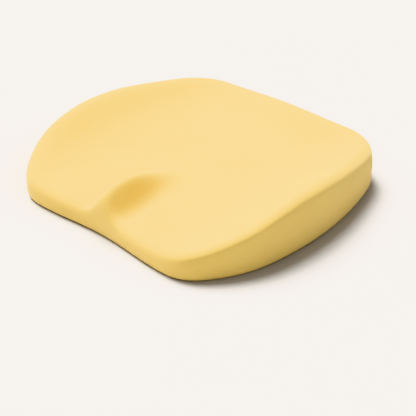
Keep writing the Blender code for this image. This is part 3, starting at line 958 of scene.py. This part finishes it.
def plastic_material(name, colour, rough, scale=600.0):
    m, n, shader, co, nor = start(name, Specular_IOR_Level=0.5)
    var = n.noise(co, scale * 0.1, 3.0)
    base = n.ramp(var, ((0.3, tuple(c * 0.94 for c in colour)), (0.7, tuple(min(1, c * 1.03) for c in colour))))
    n.link(base, shader.inputs["Base Color"])
    n.link(n.span(n.noise(co, scale, 3.0), 0.3, 0.7, rough - 0.05, rough + 0.08), shader.inputs["Roughness"])
    bump(n, shader, ((n.noise(co, scale * 2, 2.0), 0.25, 0.0001),))
    return m


def metal_material():
    m, n, shader, co, nor = start("zip_metal_satin", Metallic=1.0)
    grain = n.add("ShaderNodeMapping")
    n.link(co, grain.inputs[0])
    grain.inputs["Scale"].default_value = (60, 900, 900)
    brushed = n.noise(grain.outputs[0], 4.0, 3.0)
    geo = n.add("ShaderNodeNewGeometry")
    edge = n.span(geo.outputs["Pointiness"], 0.52, 0.62, 0.0, 1.0)
    base = n.ramp(brushed, ((0.3, (0.60, 0.59, 0.57)), (0.7, (0.74, 0.73, 0.71))))
    base = n.mix("MIX", edge, base, (0.86, 0.85, 0.83))
    n.link(base, shader.inputs["Base Color"])
    n.link(n.span(brushed, 0.3, 0.7, 0.22, 0.40), shader.inputs["Roughness"])
    bump(n, shader, ((brushed, 0.15, 0.0001), (n.noise(co, 700.0, 3.0), 0.1, 0.0001)))
    return m


def foam_material():
    m, n, shader, co, nor = start("foam_open_cell", Specular_IOR_Level=0.2)
    cells = n.add("ShaderNodeTexVoronoi")
    cells.inputs["Scale"].default_value = 900.0
    n.link(co, cells.inputs["Vector"])
    base = n.ramp(cells.outputs["Distance"], ((0.0, (0.70, 0.64, 0.48)), (0.6, (0.93, 0.88, 0.74))))
    n.link(n.mix("MULTIPLY", n.span(n.noise(co, 20.0), 0.3, 0.7, 0.0, 0.3), base, (0.95, 0.92, 0.86)),
           shader.inputs["Base Color"])
    n.link(n.span(n.noise(co, 300.0), 0.3, 0.7, 0.86, 0.96), shader.inputs["Roughness"])
    bump(n, shader, ((cells.outputs["Distance"], 0.6, 0.0004),))
    return m


def silicone_material():
    m, n, shader, co, nor = start("grip_silicone", Specular_IOR_Level=0.5, Coat_Weight=0.1, Coat_Roughness=0.35)
    var = n.noise(co, 120.0, 3.0)
    n.link(n.ramp(var, ((0.3, (0.66, 0.65, 0.62)), (0.7, (0.78, 0.77, 0.74)))), shader.inputs["Base Color"])
    n.link(n.span(n.noise(co, 900.0, 2.0), 0.3, 0.7, 0.38, 0.52), shader.inputs["Roughness"])
    bump(n, shader, ((n.noise(co, 1500.0, 2.0), 0.2, 0.0001),))
    return m


# ------------------------------------------------------------------ stage, light, camera


def floor_material():
    m, n, shader, co, nor = start("floor_matte", Specular_IOR_Level=0.1)
    n.link(n.ramp(n.noise(co, 1.5, 2.0), ((0.3, (0.520, 0.508, 0.501)), (0.7, (0.532, 0.520, 0.513)))),
           shader.inputs["Base Color"])
    n.link(n.span(n.noise(co, 60.0, 2.0), 0.3, 0.7, 0.9, 1.0), shader.inputs["Roughness"])
    return m


def build_stage():
    """A flat pale floor, wide enough that its edge lies on the horizon."""
    rings = (0.8, 3.0, 12.0, 60.0)
    verts, faces = [Vector((0, 0, -0.0002))], []
    around = 72
    for r in rings:
        for i in range(around):
            a = 2 * math.pi * i / around
            verts.append(Vector((r * math.cos(a), r * math.sin(a), -0.0002)))
    for i in range(around):
        j = (i + 1) % around
        faces.append((0, 1 + i, 1 + j))
        for k in range(len(rings) - 1):
            p, q = 1 + k * around, 1 + (k + 1) * around
            faces.append((p + i, q + i, q + j, p + j))
    floor = new_object("floor", verts, faces)
    paint(floor, floor_material())


def area_light(name, where, aim, size, power, colour=(1, 1, 1), size_y=None):
    data = bpy.data.lights.new(name, "AREA")
    data.energy = power
    data.color = colour
    data.size = size
    if size_y:
        data.shape = "RECTANGLE"
        data.size_y = size_y
    obj = bpy.data.objects.new(name, data)
    SCENE.collection.objects.link(obj)
    obj.location = where
    obj.rotation_euler = (Vector(aim) - Vector(where)).to_track_quat("-Z", "Y").to_euler()
    return obj


LIGHTS = {
    # name: (where, aim, size, power, colour)
    "fill_front": ((-0.9, -2.5, 1.0), (0, 0, 0.04), 1.8, 3.0, (1.0, 0.98, 0.96)),
    "rim_back": ((-0.6, 2.7, 1.5), (0, 0, 0.04), 1.8, 6.0, (1.0, 0.99, 0.98)),
}
# the main light, broad and even, from above the left shoulder
KEY_FROM, KEY_POWER, KEY_ANGLE = (-0.48, 0.10, 0.87), 7.6, 34.0
# the sky's brightness overhead and along the horizon, where it meets the floor
SKY, SKY_HIGH, SKY_LOW = (1.0, 0.985, 0.97), 0.30, 1.25


def build_light():
    for name, (where, aim, size, power, colour) in LIGHTS.items():
        area_light(name, where, aim, size, power, colour)
    data = bpy.data.lights.new("key_sky", "SUN")
    data.energy = KEY_POWER
    data.angle = math.radians(KEY_ANGLE)
    data.color = (1.0, 0.985, 0.965)
    key = bpy.data.objects.new("key_sky", data)
    SCENE.collection.objects.link(key)
    key.rotation_euler = Vector(KEY_FROM).to_track_quat("Z", "Y").to_euler()
    world = bpy.data.worlds.new("studio")
    SCENE.world = world
    world.use_nodes = True
    tree = world.node_tree
    bg = tree.nodes["Background"]
    bg.inputs[0].default_value = (SKY[0], SKY[1], SKY[2], 1)
    where = tree.nodes.new("ShaderNodeTexCoord")
    split = tree.nodes.new("ShaderNodeSeparateXYZ")
    span = tree.nodes.new("ShaderNodeMapRange")
    span.interpolation_type = "SMOOTHSTEP"
    for socket, value in (("From Min", 0.06), ("From Max", 0.42), ("To Min", SKY_LOW), ("To Max", SKY_HIGH)):
        span.inputs[socket].default_value = value
    tree.links.new(where.outputs["Generated"], split.inputs[0])
    tree.links.new(split.outputs["Z"], span.inputs["Value"])
    tree.links.new(span.outputs["Result"], bg.inputs[1])
    SCENE.view_settings.view_transform = "Khronos PBR Neutral"
    SCENE.view_settings.look = "None"
    SCENE.view_settings.exposure = 0.0
    SCENE.view_settings.gamma = 1.0


def build_camera():
    az, el = math.radians(42.84), math.radians(31.54)
    k = 0.94234
    back = Vector((math.sin(az) * math.cos(el), -math.cos(az) * math.cos(el), math.sin(el)))
    right = Vector((math.cos(az), math.sin(az), 0))
    up = back.cross(right)
    at = (back * 1598.63 + Vector((0, 0, 40)) + right * 16.45 + up * -74.68) * k + Vector((0, OUTLINE_CENTRE_Y, 0))
    at *= MM
    data = bpy.data.cameras.new("camera")
    data.sensor_width = 36.0
    data.lens = 976.03 * 36 / 416
    data.dof.use_dof = False
    cam = bpy.data.objects.new("camera", data)
    SCENE.collection.objects.link(cam)
    cam.matrix_world = Matrix((
        (right.x, up.x, back.x, at.x),
        (right.y, up.y, back.y, at.y),
        (right.z, up.z, back.z, at.z),
        (0, 0, 0, 1),
    ))
    SCENE.camera = cam


# ------------------------------------------------------------------ put together

build_camera()
build_light()
build_stage()

cover = build_cover()
base, dots = build_base()
stitches = build_stitches()
coils = build_coils()

YELLOW_THREAD = (0.86, 0.58, 0.17)
paint(cover, knit_material())
paint(base, woven_material("grip_cloth", (0.50, 0.485, 0.46), 0.0011, 0.86))
paint(dots, silicone_material())
thread = thread_material("sewing_thread_twist", YELLOW_THREAD)
for s in stitches:
    paint(s, thread)
nylon = plastic_material("zip_nylon_spiral", (0.84, 0.56, 0.16), 0.42)
for c in coils:
    paint(c, nylon)
tape = woven_material("zip_tape_weave", (0.84, 0.55, 0.155), 0.0007, 0.85, (0.75, 0.7, 0.6), 0.0002)
metal = metal_material()
for name, mat in (
    ("zipper_tape_upper", tape),
    ("zipper_tape_lower", tape),
    ("zipper_top_stop_upper", metal),
    ("zipper_top_stop_lower", metal),
    ("zipper_bottom_stop", metal),
    ("slider_body", metal),
    ("pull_tab", metal),
    ("foam_core", foam_material()),
    ("inner_liner", woven_material("liner_mesh_cloth", (0.84, 0.84, 0.82), 0.0016, 0.9)),
    ("liner_elastic", woven_material("elastic_band", (0.80, 0.80, 0.78), 0.0009, 0.8)),
    ("care_label", woven_material("label_satin_weave", (0.88, 0.88, 0.86), 0.0004, 0.55, sheen=0.3)),
):
    paint(NODES[name], mat)
